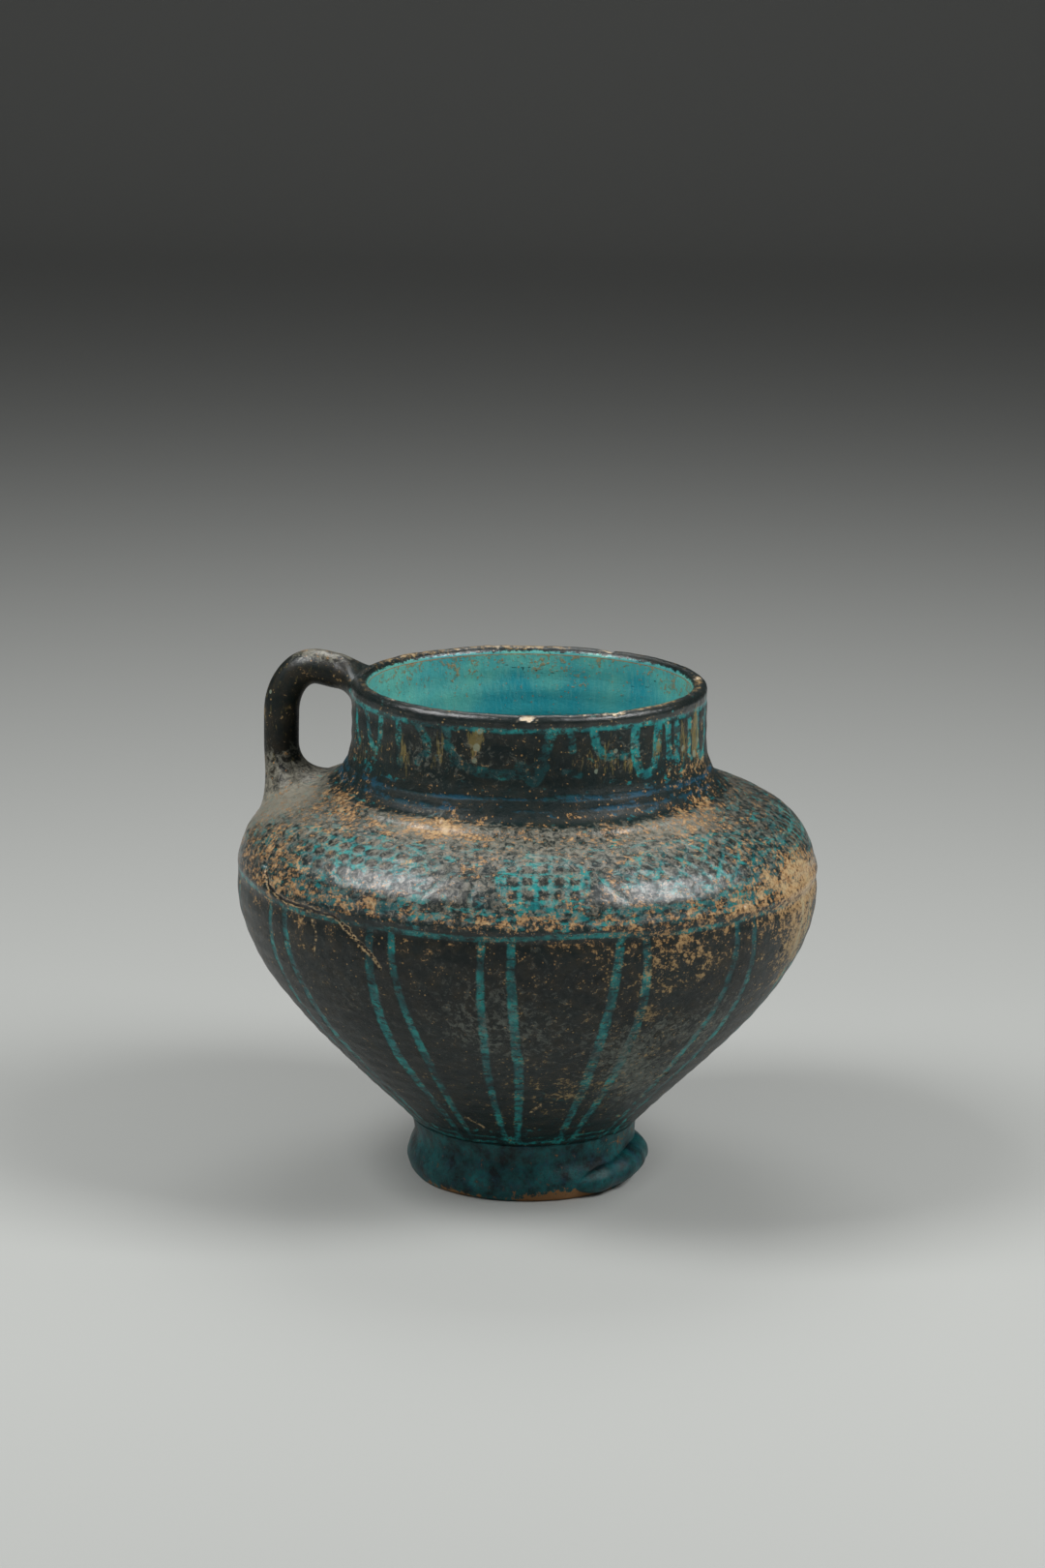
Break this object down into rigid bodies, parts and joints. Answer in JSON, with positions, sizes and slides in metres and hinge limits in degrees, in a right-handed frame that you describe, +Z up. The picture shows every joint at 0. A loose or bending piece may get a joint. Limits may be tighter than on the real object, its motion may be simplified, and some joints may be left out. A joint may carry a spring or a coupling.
{
  "type": "pottery jug",
  "caption": "Wide-mouthed glazed pottery jug on a turned foot ring, with a carinated belly, an upright neck and a loop handle for carrying and pouring.",
  "frame": {"origin": "on the jug's axis, in the plane that the foot ring stands on", "axes": "+Z up along the jug's axis, -X towards the handle"},
  "size_m": [0.1672, 0.1672, 0.1511],
  "materials": {
    "neck_glaze": "black slip under a clear turquoise glaze, worn",
    "bowl_glaze": "black slip with turquoise lines, glossy",
    "shoulder_glaze": "black slip and turquoise glaze, weathered to tan flecks",
    "foot_glaze": "dark teal glaze",
    "handle_glaze": "dusty black slip",
    "luting_slip": "bare fired buff slip",
    "pooled_glaze": "thick pooled turquoise glaze"
  },
  "bodies": {
    "root": {"foot_ring": "foot_glaze", "foot_luting_slip": "luting_slip", "lower_bowl": "bowl_glaze", "belly_luting_slip": "luting_slip", "shoulder": "shoulder_glaze", "neck_luting_slip": "luting_slip", "neck_collar": "neck_glaze", "handle": "handle_glaze", "handle_top_slip": "luting_slip", "handle_base_slip": "luting_slip", "glaze_roll": "pooled_glaze"}
  },
  "joints": []
}
